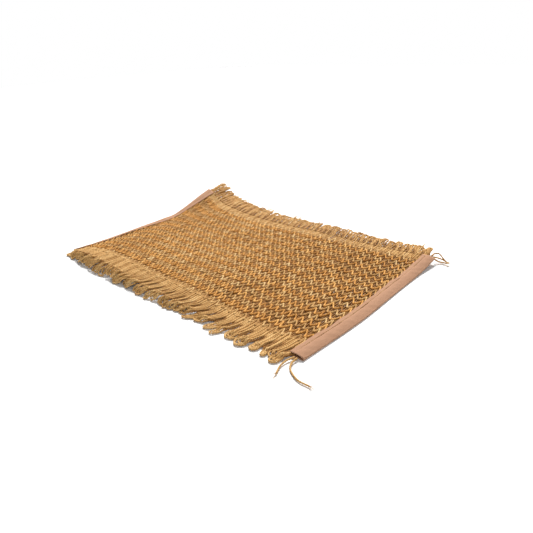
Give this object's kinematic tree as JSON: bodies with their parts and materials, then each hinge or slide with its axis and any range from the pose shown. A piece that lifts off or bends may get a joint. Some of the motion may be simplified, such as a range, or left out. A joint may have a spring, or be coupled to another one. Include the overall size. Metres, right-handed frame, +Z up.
{
  "type": "placemat",
  "caption": "Woven jute table placemat, coloured zigzag cord rows on a beige ground, looped fringe on both long edges and folded cotton strips binding the short ends.",
  "frame": {"origin": "on the surface that the mat lies on, under the middle of the whole mat's box, loose threads included", "axes": "+X along the mat's long way towards its right end, +Y towards its far long edge, +Z up"},
  "size_m": [0.475, 0.3784, 0.0337],
  "materials": {
    "jute_weave": "matt jute yarn",
    "cotton_binding": "matt plain cotton",
    "jute_fringe": "matt jute yarn"
  },
  "bodies": {
    "root": {"woven_body": "jute_weave", "binding_left": "cotton_binding", "binding_right": "cotton_binding", "fringe_near": "jute_fringe", "fringe_far": "jute_fringe"}
  },
  "joints": []
}
